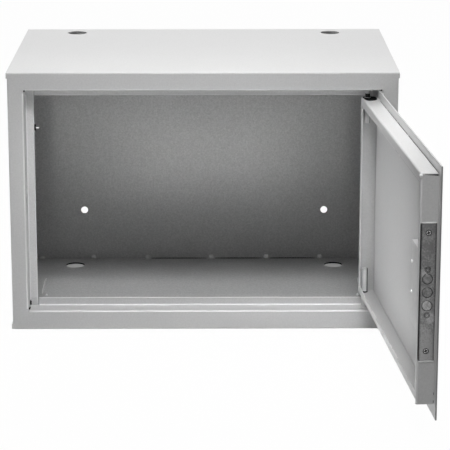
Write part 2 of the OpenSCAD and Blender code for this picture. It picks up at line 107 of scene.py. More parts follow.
paper_in_sight = 0.985
paper_in_shade = 0.015
paper_entry_light = 0.2
shade_half_x = 0.297
shade_half_y = 0.202
entry_r = 0.016
entry_x = 0.225
entry_y = 0.161
paper, tree = new_finish("studio_paper")
_, across, along, _ = object_place(tree)
under_width = reckon(tree, "LESS_THAN", reckon(tree, "ABSOLUTE", across), shade_half_x)
under_depth = reckon(tree, "LESS_THAN", reckon(tree, "ABSOLUTE", along), shade_half_y)
under = reckon(tree, "MULTIPLY", under_width, under_depth)
off_x = reckon(tree, "SUBTRACT", reckon(tree, "ABSOLUTE", across), entry_x)
off_y = reckon(tree, "SUBTRACT", along, entry_y - 0.002)
off_entry = reckon(tree, "SQRT", reckon(tree, "ADD", reckon(tree, "MULTIPLY", off_x, off_x),
                                        reckon(tree, "MULTIPLY", off_y, off_y)))
# painted light: a round pool of light on the paper under each cable entry, inside the painted shade
entry_light_spot = reckon(tree, "LESS_THAN", off_entry, entry_r)
shade = reckon(tree, "MULTIPLY_ADD", entry_light_spot, paper_entry_light - paper_in_shade, paper_in_shade)
fall = reckon(tree, "SUBTRACT", shade, paper_in_sight)
white = reckon(tree, "MULTIPLY_ADD", under, fall, paper_in_sight)
paper_lit = tree.nodes.new("ShaderNodeBsdfDiffuse")
paper_lit.inputs["Color"].default_value = (0.86, 0.86, 0.86, 1)
paper_white = tree.nodes.new("ShaderNodeEmission")
paper_white.inputs["Color"].default_value = (1, 1, 1, 1)
paper_mix = tree.nodes.new("ShaderNodeMixShader")
tree.links.new(reckon(tree, "MULTIPLY", seen_rays(tree), white), paper_mix.inputs[0])
tree.links.new(paper_lit.outputs[0], paper_mix.inputs[1])
tree.links.new(paper_white.outputs[0], paper_mix.inputs[2])
tree.links.new(paper_mix.outputs[0], tree.nodes.new("ShaderNodeOutputMaterial").inputs["Surface"])

floor_mesh = bpy.data.meshes.new("studio_floor")
floor_mesh.from_pydata([(-8, -8, 0), (8, -8, 0), (8, 8, 0), (-8, 8, 0)], [], [(0, 1, 2, 3)])
studio_floor = bpy.data.objects.new("studio_floor", floor_mesh)
studio_floor.location.z = cad_box[0][2] - 0.0004
studio_floor.data.materials.append(paper)
bpy.context.collection.objects.link(studio_floor)

sky = bpy.data.worlds.new("studio_sky")
sky.use_nodes = True
tree = sky.node_tree
tree.nodes.clear()
sky_fill = tree.nodes.new("ShaderNodeBackground")
sky_fill.inputs["Color"].default_value = (1, 1, 1, 1)
sky_fill.inputs["Strength"].default_value = 0.0
sky_white = tree.nodes.new("ShaderNodeBackground")
sky_white.inputs["Color"].default_value = (1, 1, 1, 1)
sky_white.inputs["Strength"].default_value = 1.0
sky_mix = tree.nodes.new("ShaderNodeMixShader")
tree.links.new(seen_rays(tree), sky_mix.inputs[0])
tree.links.new(sky_fill.outputs[0], sky_mix.inputs[1])
tree.links.new(sky_white.outputs[0], sky_mix.inputs[2])
tree.links.new(sky_mix.outputs[0], tree.nodes.new("ShaderNodeOutputWorld").inputs["Surface"])
bpy.context.scene.world = sky


def soft_box(name, place, aim, width, height, power, spread=180):
    lamp = bpy.data.lights.new(name, "AREA")
    lamp.shape = "RECTANGLE"
    lamp.size = width
    lamp.size_y = height
    lamp.energy = power
    lamp.spread = math.radians(spread)
    holder = bpy.data.objects.new(name, lamp)
    holder.location = place
    holder.rotation_euler = (Vector(aim) - Vector(place)).to_track_quat("-Z", "Y").to_euler()
    bpy.context.collection.objects.link(holder)


soft_box("key_soft_box", (0, -1.15, 1.5), (0, -0.1, -0.1), 0.8, 0.3, 0.83, 40)
soft_box("front_soft_box", (0, -2.1, 2.7), (0, -0.2, 0.2), 0.8, 0.6, 19.8)
soft_box("overhead_soft_box", (0, 0.2, 2.2), (0, 0, 0.4), 1.8, 1.4, 10.2)
soft_box("rear_soft_box", (0, 1.2, 1.8), (0, 0, 0.4), 1.6, 0.8, 21.8)
soft_box("inside_wide_box", (-0.05, -2.9, 0.6), (-0.03, 0.2, 0.235), 0.58, 0.18, 0.0445, 6)
soft_box("inside_narrow_box", (0, -2.9, 0.6), (0, 0.2, 0.19), 0.3, 0.1, 0.015, 4)
soft_box("door_soft_box", (-1.5, -0.8, 0.75), (0.27, -0.37, 0.2), 0.4, 0.4, 0.275, 16)

# Body panels: folded and welded mild steel sheet, sprayed after welding with a pale grey powder.
# The baked powder is half glossy. Its grain is coarser inside, where the spray reaches the sheet badly,
# and it rounds every cut edge a little.
def mottle(tree, scale, detail, roughness=0.5):
    cloud = tree.nodes.new("ShaderNodeTexNoise")
    cloud.inputs["Scale"].default_value = scale
    cloud.inputs["Detail"].default_value = detail
    cloud.inputs["Roughness"].default_value = roughness
    tree.links.new(tree.nodes.new("ShaderNodeTexCoord").outputs["Object"], cloud.inputs["Vector"])
    return cloud.outputs["Fac"]


def graded(tree, value, low, high, to_low, to_high):
    grade = tree.nodes.new("ShaderNodeMapRange")
    for label, number in (("From Min", low), ("From Max", high), ("To Min", to_low), ("To Max", to_high)):
        grade.inputs[label].default_value = number
    tree.links.new(value, grade.inputs["Value"])
    return grade.outputs["Result"]


def grey_of(tree, value):
    grey = tree.nodes.new("ShaderNodeCombineColor")
    for channel in grey.inputs:
        tree.links.new(value, channel)
    return grey.outputs[0]


def coated(tree, tone, rough, height, strength, metallic=0.0, shine=0.5):
    bump = tree.nodes.new("ShaderNodeBump")
    bump.inputs["Strength"].default_value = strength
    bump.inputs["Distance"].default_value = 0.0004
    tree.links.new(height, bump.inputs["Height"])
    skin = tree.nodes.new("ShaderNodeBsdfPrincipled")
    skin.inputs["Metallic"].default_value = metallic
    skin.inputs["Specular IOR Level"].default_value = shine
    tree.links.new(tone, skin.inputs["Base Color"])
    tree.links.new(rough, skin.inputs["Roughness"])
    tree.links.new(bump.outputs["Normal"], skin.inputs["Normal"])
    tree.links.new(skin.outputs[0], tree.nodes.new("ShaderNodeOutputMaterial").inputs["Surface"])


inside_front = (-0.176, -0.166)
inside_back = 0.2043
inside_half = 0.2992
inside_top = 0.4080
inside_foot = 0.0008
rabbet_front = (-0.2042, -0.2036)
rabbet_back = (-0.1725, -0.1720)
rabbet_half = 0.2775
rabbet_top = 0.3845
rabbet_foot = 0.0285
sill_return_front = -0.1752
sill_return_top = 0.0430
skin_shade_share = 0.45
rail_shade_share = 0.92


def powder_coat(name, tone, grain_outside, grain_inside, gloss_low, gloss_high,
                rabbet_painted_light=0.0, skin_shade_before=None, rail_shade_below=None):
    material, tree = new_finish(name)
    _, across, depth, height = object_place(tree)
    off_middle = reckon(tree, "ABSOLUTE", across)
    inside = graded(tree, depth, *inside_front, 0, 1)
    for value, limit in ((height, inside_top), (off_middle, inside_half), (depth, inside_back)):
        inside = reckon(tree, "MULTIPLY", inside, reckon(tree, "LESS_THAN", value, limit))
    inside = reckon(tree, "MULTIPLY", inside, reckon(tree, "GREATER_THAN", height, inside_foot))
    grain = mottle(tree, 380, 3, 0.6)
    drift = mottle(tree, 7, 3)
    strength = graded(tree, inside, 0, 1, grain_outside, grain_inside)
    speck = reckon(tree, "MULTIPLY", reckon(tree, "SUBTRACT", grain, 0.5), strength)
    cloud = reckon(tree, "MULTIPLY_ADD", drift, 0.07, 0.965)
    # painted light: the tone inside the rabbet round the opening, but not on the sill's return, is raised
    in_rabbet = reckon(tree, "SUBTRACT", graded(tree, depth, *rabbet_front, 0, 1),
                       graded(tree, depth, *rabbet_back, 0, 1))
    for value, limit in ((height, rabbet_top), (off_middle, rabbet_half)):
        in_rabbet = reckon(tree, "MULTIPLY", in_rabbet, reckon(tree, "LESS_THAN", value, limit))
    in_rabbet = reckon(tree, "MULTIPLY", in_rabbet, reckon(tree, "GREATER_THAN", height, rabbet_foot))
    on_sill_return = reckon(tree, "MULTIPLY", reckon(tree, "GREATER_THAN", depth, sill_return_front),
                            reckon(tree, "LESS_THAN", height, sill_return_top))
    in_rabbet = reckon(tree, "SUBTRACT", in_rabbet, reckon(tree, "MULTIPLY", in_rabbet, on_sill_return))
    cloud = reckon(tree, "MULTIPLY_ADD", in_rabbet, rabbet_painted_light, cloud)
    value = reckon(tree, "MULTIPLY", reckon(tree, "ADD", speck, cloud), tone)
    # painted shade: the outer face of the door skin and the outer part of its edges are darkened
    if skin_shade_before is not None:
        skin_shade = graded(tree, depth, skin_shade_before - 0.0003, skin_shade_before + 0.0003, skin_shade_share, 1)
        value = reckon(tree, "MULTIPLY", value, skin_shade)
    # painted shade: the floor of the door's bottom rail is darkened a little
    if rail_shade_below is not None:
        rail_shade = graded(tree, height, rail_shade_below, rail_shade_below + 0.0004, rail_shade_share, 1)
        value = reckon(tree, "MULTIPLY", value, rail_shade)
    coated(tree, grey_of(tree, value), graded(tree, drift, 0.3, 0.7, gloss_low, gloss_high), grain, 0.25)
    return material


def finish_node(name, material, edge=0.0003):
    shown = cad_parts[name]
    shown.data.materials.clear()
    shown.data.materials.append(material)
    joined = shown.modifiers.new("joined", "WELD")
    joined.merge_threshold = 0.00001
    rounded = shown.modifiers.new("rounded", "BEVEL")
    rounded.width = edge
    rounded.segments = 2
    rounded.limit_method = "ANGLE"
    rounded.angle_limit = math.radians(40)
    rounded.use_clamp_overlap = True
    even = shown.modifiers.new("even", "WEIGHTED_NORMAL")
    even.keep_sharp = True


grey_powder = powder_coat("grey_powder", 0.62, 0.24, 0.72, 0.3, 0.42, 0.13)
for panel in ("top_panel", "bottom_panel", "left_side_panel", "right_side_panel", "back_panel"):
    finish_node(panel, grey_powder)

# Welds of the body: short tacks that hold the floor to the back, a run in the left rear corner, and
# stitches and spots along the floor, sprayed thick and pale. The tacks were made last and stay bright.
def made_piece(name, shape, material, place=Matrix()):
    bmesh.ops.remove_doubles(shape, verts=shape.verts, dist=0.000001)
    bmesh.ops.recalc_face_normals(shape, faces=shape.faces)
    mesh = bpy.data.meshes.new(name)
    shape.to_mesh(mesh)
    shape.free()
    mesh.transform(place)
    for face in mesh.polygons:
        face.use_smooth = True
    mesh.set_sharp_from_angle(angle=math.radians(35))
    mesh.materials.append(material)
    piece = bpy.data.objects.new(name, mesh)
    bpy.context.collection.objects.link(piece)
    return piece


def bridge(shape, rows):
    for lower, upper in zip(rows, rows[1:]):
        for turn in range(len(lower)):
            after = (turn + 1) % len(lower)
            shape.faces.new((lower[turn], lower[after], upper[after], upper[turn]))


def capped(shape, rows):
    bridge(shape, rows)
    shape.faces.new(rows[0])
    shape.faces.new(rows[-1])


def weld_run(shape, start, end, radius, lumps=0.3):
    start, end = Vector(start), Vector(end)
    along = end - start
    side = along.orthogonal().normalized()
    over = along.normalized().cross(side)
    steps = max(8, round(along.length / (0.4 * radius)))
    sides = 12
    rows = []
    for step in range(steps + 1):
        share = step / steps
        swell = max(0.04, 1 - abs(2 * share - 1) ** 5) ** 0.5
        row = []
        for turn in range(sides):
            angle = 2 * math.pi * turn / sides
            out = side * math.cos(angle) + over * math.sin(angle)
            spot = start + along * share
            lump = 1 + lumps * noise.noise((spot + out * radius) * 0.9 / radius)
            row.append(shape.verts.new(spot + out * radius * swell * lump))
        rows.append(row)
    capped(shape, rows)


def plated_steel(name, pale, dark, rough_low, rough_high, scale, metallic=1.0):
    material, tree = new_finish(name)
    cloud = mottle(tree, scale, 6, 0.65)
    value = graded(tree, cloud, 0.35, 0.68, dark, pale)
    rough = graded(tree, cloud, 0.3, 0.7, rough_high, rough_low)
    coated(tree, grey_of(tree, value), rough, cloud, 0.15, metallic)
    return material


weld_metal = plated_steel("weld_metal", 0.92, 0.66, 0.32, 0.45, 520, 0.6)
floor_top = 0.0015
back_face = 0.2035
tack_half = 0.0045
tack_y = back_face - 0.0036
tack_z = floor_top + 0.0038
corner_x = -0.2965
corner_y = back_face - 0.0016
corner_z = floor_top + 0.0018
welds = bmesh.new()
for tack_x in (-0.195, -0.100, 0.012, 0.109, 0.203):
    weld_run(welds, (tack_x - tack_half, tack_y, tack_z), (tack_x + tack_half, tack_y, tack_z), 0.0042, 0.15)
weld_run(welds, (corner_x, corner_y, 0.004), (corner_x, corner_y, 0.020), 0.0022, 0.2)
weld_run(welds, (-0.290, corner_y, corner_z), (-0.281, corner_y, corner_z), 0.0022, 0.2)
body_welds = made_piece("body_welds", welds, weld_metal)
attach(body_welds, "cabinet")

stitch_z = floor_top + 0.0010
spot_half = 0.0018
spot_y = -0.026
spot_z = floor_top + 0.0014
stitches = bmesh.new()
for stitch_x, spot_x in ((-0.2688, -0.2608), (0.2625, 0.2545)):
    weld_run(stitches, (stitch_x, -0.015, stitch_z), (stitch_x, 0.076, stitch_z), 0.0016, 0.4)
    weld_run(stitches, (spot_x - spot_half, spot_y, spot_z),
             (spot_x + spot_half, spot_y, spot_z), 0.0022, 0.2)
weld_powder = powder_coat("weld_powder", 0.97, 0.3, 0.3, 0.24, 0.36)
floor_stitches = made_piece("floor_stitches", stitches, weld_powder)
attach(floor_stitches, "cabinet")

# Corner reliefs: the notches left open at the corners of the door opening, where two folds meet.
# Black pieces of painted shade lie in them and along the open seam between floor and back.
def black_finish(name, tone, rough):
    material, tree = new_finish(name)
    black_speckle = mottle(tree, 520, 4, 0.6)
    value = reckon(tree, "MULTIPLY", graded(tree, black_speckle, 0.3, 0.7, 0.6, 1.4), tone)
    rough = graded(tree, black_speckle, 0.3, 0.7, rough, rough + 0.15)
    coated(tree, grey_of(tree, value), rough, black_speckle, 0.3, shine=0.0)
    return material


# painted shade: a near-black finish for the dark pieces laid in gaps, recesses and shadows
black_tone = 0.012
shade_black = black_finish("shade_black", black_tone, 0.55)
opening_x = 0.275
opening_low = 0.0305
opening_high = 0.382
front_y = -0.205
return_y = -0.174
notches = bmesh.new()
for side in (-1, 1):
    notch_x = side * (opening_x - 0.0009)
    clear = 0.0010 if side > 0 else 0.0
    upper_z = opening_high - 0.0007 + clear
    lower_z = opening_low + 0.0002 - clear
    weld_run(notches, (notch_x, front_y + 0.0012, upper_z), (notch_x, front_y + 0.0052, upper_z), 0.0014, 0.1)
    weld_run(notches, (notch_x, front_y + 0.006, lower_z), (notch_x, front_y + 0.020, lower_z), 0.0012, 0.1)
notch_x = -opening_x + 0.0013
notch_y = return_y - 0.0006
weld_run(notches, (notch_x, notch_y, opening_low + 0.0005),
         (notch_x, notch_y, opening_low + 0.008), 0.0012, 0.3)
gap_y = back_face - 0.0003
gap_z = floor_top + 0.0003
for gap_from, gap_to in ((-0.094, 0.005), (0.018, 0.102), (0.115, 0.196)):
    weld_run(notches, (gap_from, gap_y, gap_z), (gap_to, gap_y, gap_z), 0.0008, 0.6)
corner_relief_shade = made_piece("corner_relief_shade", notches, shade_black)
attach(corner_relief_shade, "cabinet")

# Bends and cut edges round the opening: thin strips hug the folds and, as rounded beads, the cut edges.
# They carry a pale powder, a painted highlight that shows them as thin bright lines.
def prism(shape, outline, start, end, first, second):
    rows = [[shape.verts.new(Vector(spot) + Vector(first) * u + Vector(second) * v) for u, v in outline]
            for spot in (start, end)]
    capped(shape, rows)


def level(shape, outline, left, right, y, z, first, second):
    prism(shape, outline, (left, y, z), (right, y, z), first, second)


def upright(shape, outline, x, y, low, high, first, second):
    prism(shape, outline, (x, y, low), (x, y, high), first, second)


def quarter(radius, middle, steps=8):
    return [(middle - radius * math.cos(math.pi / 2 * step / steps),
             middle - radius * math.sin(math.pi / 2 * step / steps)) for step in range(steps + 1)]


fold_r = 0.0025
fold = quarter(fold_r + 0.00006, fold_r) + quarter(fold_r - 0.0004, fold_r)[::-1]
hollow = [(-0.0002, -0.0002)] + quarter(0.0020, 0.0020)
bead_r = 0.00082
bead = [(bead_r * math.cos(math.pi * step / 6), bead_r * math.sin(math.pi * step / 6)) for step in range(12)]
sheet = 0.0015
edge_y = return_y + sheet / 2
level_half = 0.2600
return_x = 0.263
return_low = 0.0425
return_high = 0.370
to_right, to_back, to_top = (1, 0, 0), (0, 1, 0), (0, 0, 1)
to_left, to_front, to_foot = (-1, 0, 0), (0, -1, 0), (0, 0, -1)
bright_bends = bmesh.new()
level(bright_bends, fold, -0.2735, 0.2735, front_y, opening_low, to_back, to_foot)
level(bright_bends, hollow, -level_half, level_half, return_y, opening_low, to_front, to_top)
level(bright_bends, bead, -level_half, level_half, edge_y, return_low, to_back, to_top)
level(bright_bends, fold, -0.2720, 0.2720, front_y, opening_high, to_back, to_top)
level(bright_bends, bead, -level_half, level_half, edge_y, return_high, to_back, to_top)
for side in (-1, 1):
    inward, outward = (to_right, to_left) if side < 0 else (to_left, to_right)
    wall_x = side * opening_x
    upright(bright_bends, fold, wall_x, front_y, 0.0335, 0.3780, to_back, outward)
    upright(bright_bends, hollow, wall_x, return_y, 0.0400, 0.3700, to_front, inward)
    upright(bright_bends, bead, side * return_x, edge_y, 0.0335, 0.3780, to_right, to_back)
# painted highlight: a powder much paler than the panels
highlight_powder = powder_coat("highlight_powder", 0.9, 0.1, 0.1, 0.2, 0.3)
opening_bends = made_piece("opening_bends", bright_bends, highlight_powder)
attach(opening_bends, "cabinet")

# Cable entries in the floor: punched holes, each with a black crescent of painted shade
# inside its rear rim.
rim_r = entry_r - 0.0001
rim_steps = 24
rims = bmesh.new()
for side in (-1, 1):
    rows = []
    for step in range(rim_steps + 1):
        angle = math.radians(10 + 160 * step / rim_steps)
        bulge = 0.0002 + 0.0016 * math.sin(math.pi * step / rim_steps)
        rows.append([rims.verts.new((side * entry_x + radius * math.cos(angle),
                                     entry_y + radius * math.sin(angle), rise))
                     for radius, rise in ((rim_r, 0.0001), (rim_r - bulge, 0.0001),
                                          (rim_r - bulge * 0.3, floor_top + 0.0001),
                                          (entry_r + 0.0004, floor_top + 0.00015))])
    capped(rims, rows)
entry_rim_shade = made_piece("entry_rim_shade", rims, shade_black)
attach(entry_rim_shade, "cabinet")

# Earth stud: a plated M6 stud welded to the left wall, with two flat washers and a hexagon nut.
# The thread is rolled and the tapered end is polished bright; washers and nut are dark.
def ring(shape, radius, height, sides, place=Matrix()):
    return [shape.verts.new(place @ Vector((radius * math.cos(2 * math.pi * turn / sides),
                                            radius * math.sin(2 * math.pi * turn / sides), height)))
            for turn in range(sides)]


def turned(shape, profile, sides=32, place=Matrix()):
    rows = []
    for radius, height in profile:
        rows.append(ring(shape, radius, height, sides if radius else 1, place))
    for lower, upper in zip(rows, rows[1:]):
        for turn in range(sides):
            after = (turn + 1) % sides
            corners = (lower[turn % len(lower)], lower[after % len(lower)],
                       upper[after % len(upper)], upper[turn % len(upper)])
            shape.faces.new(list(dict.fromkeys(corners)))


bright_zinc = plated_steel("bright_zinc", 0.90, 0.80, 0.1, 0.2, 420)
polished_zinc = plated_steel("polished_zinc", 0.97, 0.93, 0.1, 0.16, 120)
dark_steel = plated_steel("dark_steel", 0.09, 0.03, 0.3, 0.5, 380)
stud_place = Matrix.Translation((-0.2985, 0.045, 0.272)) @ Matrix.Rotation(math.radians(90), 4, "Y")
stud_r = 0.003
stud_l = 0.026
thread_from = 0.008
plain_from = 0.0190
end_taper = 0.14
thread_pitch = 0.001
thread_depth = 0.0004
stud = bmesh.new()
sides = 24
rows = []
height = 0.0
while height <= stud_l - 0.0015:
    row = []
    for turn in range(sides):
        angle = 2 * math.pi * turn / sides
        lead = (height / thread_pitch - turn / sides) % 1
        groove = thread_depth * abs(2 * lead - 1) if thread_from < height < plain_from else 0.0
        groove += max(0.0, height - plain_from) * end_taper
        row.append(stud.verts.new(((stud_r - groove) * math.cos(angle),
                                   (stud_r - groove) * math.sin(angle), height)))
    rows.append(row)
    height += thread_pitch / 4 if height >= thread_from - 0.001 else 0.001
for radius, short in ((0.0021, 0.0011), (0.0018, 0.0006), (0.0013, 0.0002), (0.0007, 0.0)):
    rows.append(ring(stud, radius, stud_l - short, sides))
capped(stud, rows)
threaded_stud = made_piece("threaded_stud", stud, polished_zinc, stud_place)
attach(threaded_stud, "cabinet")
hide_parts("earth_stud")

washer_r = 0.006
washer_t = 0.0016
washer_bore = stud_r + 0.0002
burr = 0.0002
rounding = 0.0003
washers = bmesh.new()
for rise in (0.012, 0.0137):
    top = rise + washer_t
    turned(washers, [(washer_bore, rise + burr), (washer_bore + burr, rise), (washer_r - rounding, rise),
                     (washer_r, rise + rounding), (washer_r, top - rounding), (washer_r - rounding, top),
                     (washer_bore + burr, top), (washer_bore, top - burr), (washer_bore, rise + burr)])
flat_washers = made_piece("flat_washers", washers, dark_steel, stud_place)
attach(flat_washers, "cabinet")
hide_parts("earth_washers")

nut_half = 0.005
nut_from = 0.0154
nut_h = 0.005
nut = bmesh.new()
sides = 48
chamfer_r = nut_half * 1.02
rows = [[], [], [], []]
for turn in range(sides):
    angle = 2 * math.pi * turn / sides
    flat = math.radians(60) * round(angle / math.radians(60))
    hex_r = nut_half / math.cos(angle - flat)
    drop = max(0.0, hex_r - chamfer_r) * math.tan(math.radians(30))
    ring_r = min(hex_r, chamfer_r)
    for row, (radius, rise) in zip(rows, ((ring_r, 0.0), (hex_r, drop + 0.00002),
                                          (hex_r, nut_h - drop - 0.00002), (ring_r, nut_h))):
        row.append(nut.verts.new((radius * math.cos(angle), radius * math.sin(angle), nut_from + rise)))
rows += [ring(nut, stud_r + 0.00015, nut_from + rise, sides) for rise in (nut_h, 0.0)]
bridge(nut, rows + rows[:1])
hexagon_nut = made_piece("hexagon_nut", nut, dark_steel, stud_place)
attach(hexagon_nut, "cabinet")
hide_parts("earth_nut")

# Door: a flat outer skin with a frame of four folded rails welded behind it, in the same powder. A narrow
# seam stays between frame and skin; along most of the top rail and at the lock end of the bottom rail a black
# strip of painted shade lies in it, and elsewhere it is filled with powder. The bottom rail's floor and the
# skin's outer face and edges carry painted shade.
door_powder = powder_coat("door_powder", 0.62, 0.24, 0.24, 0.3, 0.42)
for piece in ("door_top_rail", "door_hinge_stile", "door_lock_stile"):
    finish_node(piece, door_powder)
rail_powder = powder_coat("rail_powder", 0.62, 0.24, 0.24, 0.3, 0.42, rail_shade_below=0.0556)
finish_node("door_bottom_rail", rail_powder)
skin_powder = powder_coat("skin_powder", 0.62, 0.24, 0.24, 0.3, 0.42,
                          skin_shade_before=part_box("door_skin")[0][1] + 0.0006)
finish_node("door_skin", skin_powder)

door_place = (Matrix.Translation((0.254, -0.1875, 0))
              @ Matrix.Rotation(math.radians(94.6), 4, "Z"))
frame_free = -0.513
frame_hinge = 0.008
rail_low = 0.054
rail_high = 0.368
skin_in = -0.0155
frame_edge = -0.0145
lip_face = 0.009


def seam_strip(shape, start, end, depth, width, taper=0.004):
    start, end = Vector(start), Vector(end)
    along = (end - start).normalized()
    wide = Vector((0, 1, 0)) * width / 2
    deep = along.cross(Vector((0, 1, 0))) * depth / 2
    rows = []
    for spot, squeeze in ((start, 0.5), (start + along * 0.004, 1), (end - along * taper, 1), (end, 0.3)):
        rows.append([shape.verts.new(spot + wide * squeeze * a + deep * b)
                     for a, b in ((-1, -1), (1, -1), (1, 1), (-1, 1))])
    capped(shape, rows)


seam_y = (skin_in + frame_edge) / 2
seam_in = 0.0007
seam_d = 0.0008
filler_w = 0.00098
top_open_to = -0.030
low_open_to = -0.400
open_seams = bmesh.new()
seam_strip(open_seams, (frame_free + 0.002, seam_y, rail_high - seam_in),
           (top_open_to, seam_y, rail_high - seam_in), seam_d, 0.0009, 0.25)
seam_strip(open_seams, (frame_free + 0.002, seam_y, rail_low + 0.0009),
           (low_open_to, seam_y, rail_low + 0.0009), seam_d, 0.0008, 0.08)
seam_strip(open_seams, (frame_free + seam_in, seam_y, rail_low - 0.003),
           (frame_free + seam_in, seam_y, rail_low + 0.012), seam_d, 0.0009)
# painted shade: a black wedge in the gap under the top rail at the free corner
under_rail = rail_high - 0.0015
wedge = [open_seams.verts.new((x, y, z)) for x in (frame_free + 0.0002, frame_free + 0.0012)
         for y, z in ((0.004, under_rail), (frame_edge + 0.0002, under_rail),
                      (frame_edge + 0.0002, under_rail - 0.0018), (0.004, under_rail - 0.0003))]
for face in ((0, 1, 2, 3), (4, 5, 6, 7), (0, 1, 5, 4), (1, 2, 6, 5), (2, 3, 7, 6), (3, 0, 4, 7)):
    open_seams.faces.new([wedge[corner] for corner in face])
door_seam_shade = made_piece("door_seam_shade", open_seams, shade_black, door_place)
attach(door_seam_shade, "door")

filled_seams = bmesh.new()
seam_strip(filled_seams, (top_open_to + 0.001, seam_y, rail_high - 0.0005),
           (frame_hinge - 0.001, seam_y, rail_high - 0.0005), 0.0007, filler_w)
seam_strip(filled_seams, (low_open_to + 0.001, seam_y, rail_low + 0.0010),
           (frame_hinge - 0.001, seam_y, rail_low + 0.0010), 0.0009, filler_w)
seam_strip(filled_seams, (frame_free + 0.0005, seam_y, rail_low + 0.0125),
           (frame_free + 0.0005, seam_y, rail_high - 0.003), 0.0007, filler_w)
seam_strip(filled_seams, (frame_hinge - 0.0012, seam_y, rail_low + 0.002),
           (frame_hinge - 0.0012, seam_y, rail_high - 0.002), 0.0012, filler_w)
seam_filler = made_piece("seam_filler", filled_seams, door_powder, door_place)
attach(seam_filler, "door")

# Edges of the door frame: the cut edges of the lips and the folds of the lock stile, with rounded beads and
# folds in a pale powder, a painted highlight like that round the opening.
lip_mid = lip_face - sheet / 2
lock_lip_x = -0.503
hinge_lip_x = -0.005
low_lip_z = 0.065
high_lip_z = 0.355
window_low = 0.111
window_high = 0.301
door_edges = bmesh.new()
for lip_x in (hinge_lip_x, lock_lip_x):
    upright(door_edges, bead, lip_x, lip_mid, low_lip_z + 0.001, high_lip_z - 0.001, to_right, to_back)
for lip_z in (low_lip_z, high_lip_z):
    level(door_edges, bead, lock_lip_x - 0.001, hinge_lip_x + 0.001, lip_mid, lip_z, to_back, to_top)
for fold_low, fold_high in ((0.0505, window_low - 0.0002), (window_high + 0.0002, 0.3660)):
    upright(door_edges, fold, frame_free, lip_face, fold_low, fold_high, to_right, to_front)
upright(door_edges, bead, frame_free + 0.0025, lip_mid, window_low, window_high, to_right, to_back)
rim = [(u * 1.15, v * 1.15) for u, v in bead]
prism(door_edges, rim, (frame_free + 0.0005, frame_edge + 0.0005, rail_high - 0.0005),
      (frame_free + 0.0005, lip_face - 0.0025, rail_high - 0.0005), to_right, to_top)
# painted highlight: a powder paler than the door
frame_highlight_powder = powder_coat("frame_highlight_powder", 0.76, 0.1, 0.1, 0.22, 0.32)
frame_edge_highlights = made_piece("frame_edge_highlights", door_edges, frame_highlight_powder, door_place)
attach(frame_edge_highlights, "door")

# Welds of the door: a lump at the top free corner of the frame, ground off roughly, and a small tack
# where the bottom rail's lip meets the hinge stile's. Both are in the pale powder of the painted highlights.
door_welds = bmesh.new()
weld_run(door_welds, (frame_free + 0.0004, lip_face - 0.0008, rail_high - 0.0008),
         (frame_free + 0.0010, lip_face - 0.0012, rail_high - 0.0056), 0.0025, 0.5)
weld_run(door_welds, (frame_free + 0.0006, lip_face - 0.0014, rail_high - 0.0006),
         (frame_free + 0.0006, lip_face - 0.0058, rail_high - 0.0008), 0.0014, 0.5)
weld_run(door_welds, (-0.0052, lip_face - 0.0003, 0.0668), (-0.0066, lip_face - 0.0003, 0.0650), 0.0016)
corner_welds = made_piece("corner_welds", door_welds, highlight_powder, door_place)
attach(corner_welds, "door")

# Pivot pins: round steel bar welded into the rails before spraying, so the parts inside the door are grey.
# The side by the skin is darkened as painted shade, and the necks at the rails are black. A plated
# spacer carries the door on the sill.
neck = 0.007
pin_x = 0.254


def pin_finish(name):
    material, tree = new_finish(name)
    _, across, _, height = object_place(tree)
    off_upper = reckon(tree, "ABSOLUTE", reckon(tree, "SUBTRACT", height, rail_high + neck / 2))
    off_lower = reckon(tree, "ABSOLUTE", reckon(tree, "SUBTRACT", height, rail_low + 0.004 - neck / 2))
    off_neck = reckon(tree, "MINIMUM", off_upper, off_lower)
    black_share = graded(tree, off_neck, neck / 2 - 0.0008, neck / 2, 1, 0)
    # painted shade on the side of the pins towards the skin
    far_side_shade = graded(tree, across, pin_x + 0.0022, pin_x + 0.0036, 0, 0.85)
    black_share = reckon(tree, "MAXIMUM", black_share, far_side_shade)
    grain = mottle(tree, 380, 3, 0.6)
    painted = reckon(tree, "MULTIPLY_ADD", grain, 0.1, 0.74)
    fall = reckon(tree, "SUBTRACT", black_tone, painted)
    value = reckon(tree, "MULTIPLY_ADD", black_share, fall, painted)
    rough = graded(tree, grain, 0.3, 0.7, 0.32, 0.46)
    coated(tree, grey_of(tree, value), rough, grain, 0.2, shine=0.15)
    return material


pin_powder_with_shade = pin_finish("pin_powder_with_shade")
for piece in ("upper_pivot_pin", "lower_pivot_pin"):
    finish_node(piece, pin_powder_with_shade)

# Painted shadow: a thin black film on the end of the top rail round the neck of the upper pin,
# where the header's shadow falls on the rail.
shadow_low = rail_high + 0.00002
shadow_top = rail_high + 0.0002
shadow_bore = 0.0052
squareness = 0.6
shadow_film = bmesh.new()
rows = [[], [], [], []]
sides = 36
for turn in range(sides):
    angle = 2 * math.pi * turn / sides
    across, along = math.cos(angle), math.sin(angle)
    reach_x = 0.0070 if across > 0 else 0.0300
    reach_y = 0.0080 if along > 0 else 0.0138
    ragged = 0.93 + 0.06 * noise.noise((2.4 * across, 2.4 * along, 0.3))
    outer = Vector((reach_x * math.copysign(abs(across) ** squareness, across),
                    reach_y * math.copysign(abs(along) ** squareness, along), 0)) * ragged
    inner = Vector((shadow_bore * across, shadow_bore * along, 0))
    for row, spot, z in zip(rows, (inner, outer, outer * 0.97, inner),
                            (shadow_low, shadow_low, shadow_top, shadow_top)):
        row.append(shadow_film.verts.new((spot.x, spot.y, z)))
bridge(shadow_film, rows + rows[:1])
rail_end_shadow = made_piece("rail_end_shadow", shadow_film, shade_black, door_place)
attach(rail_end_shadow, "door")

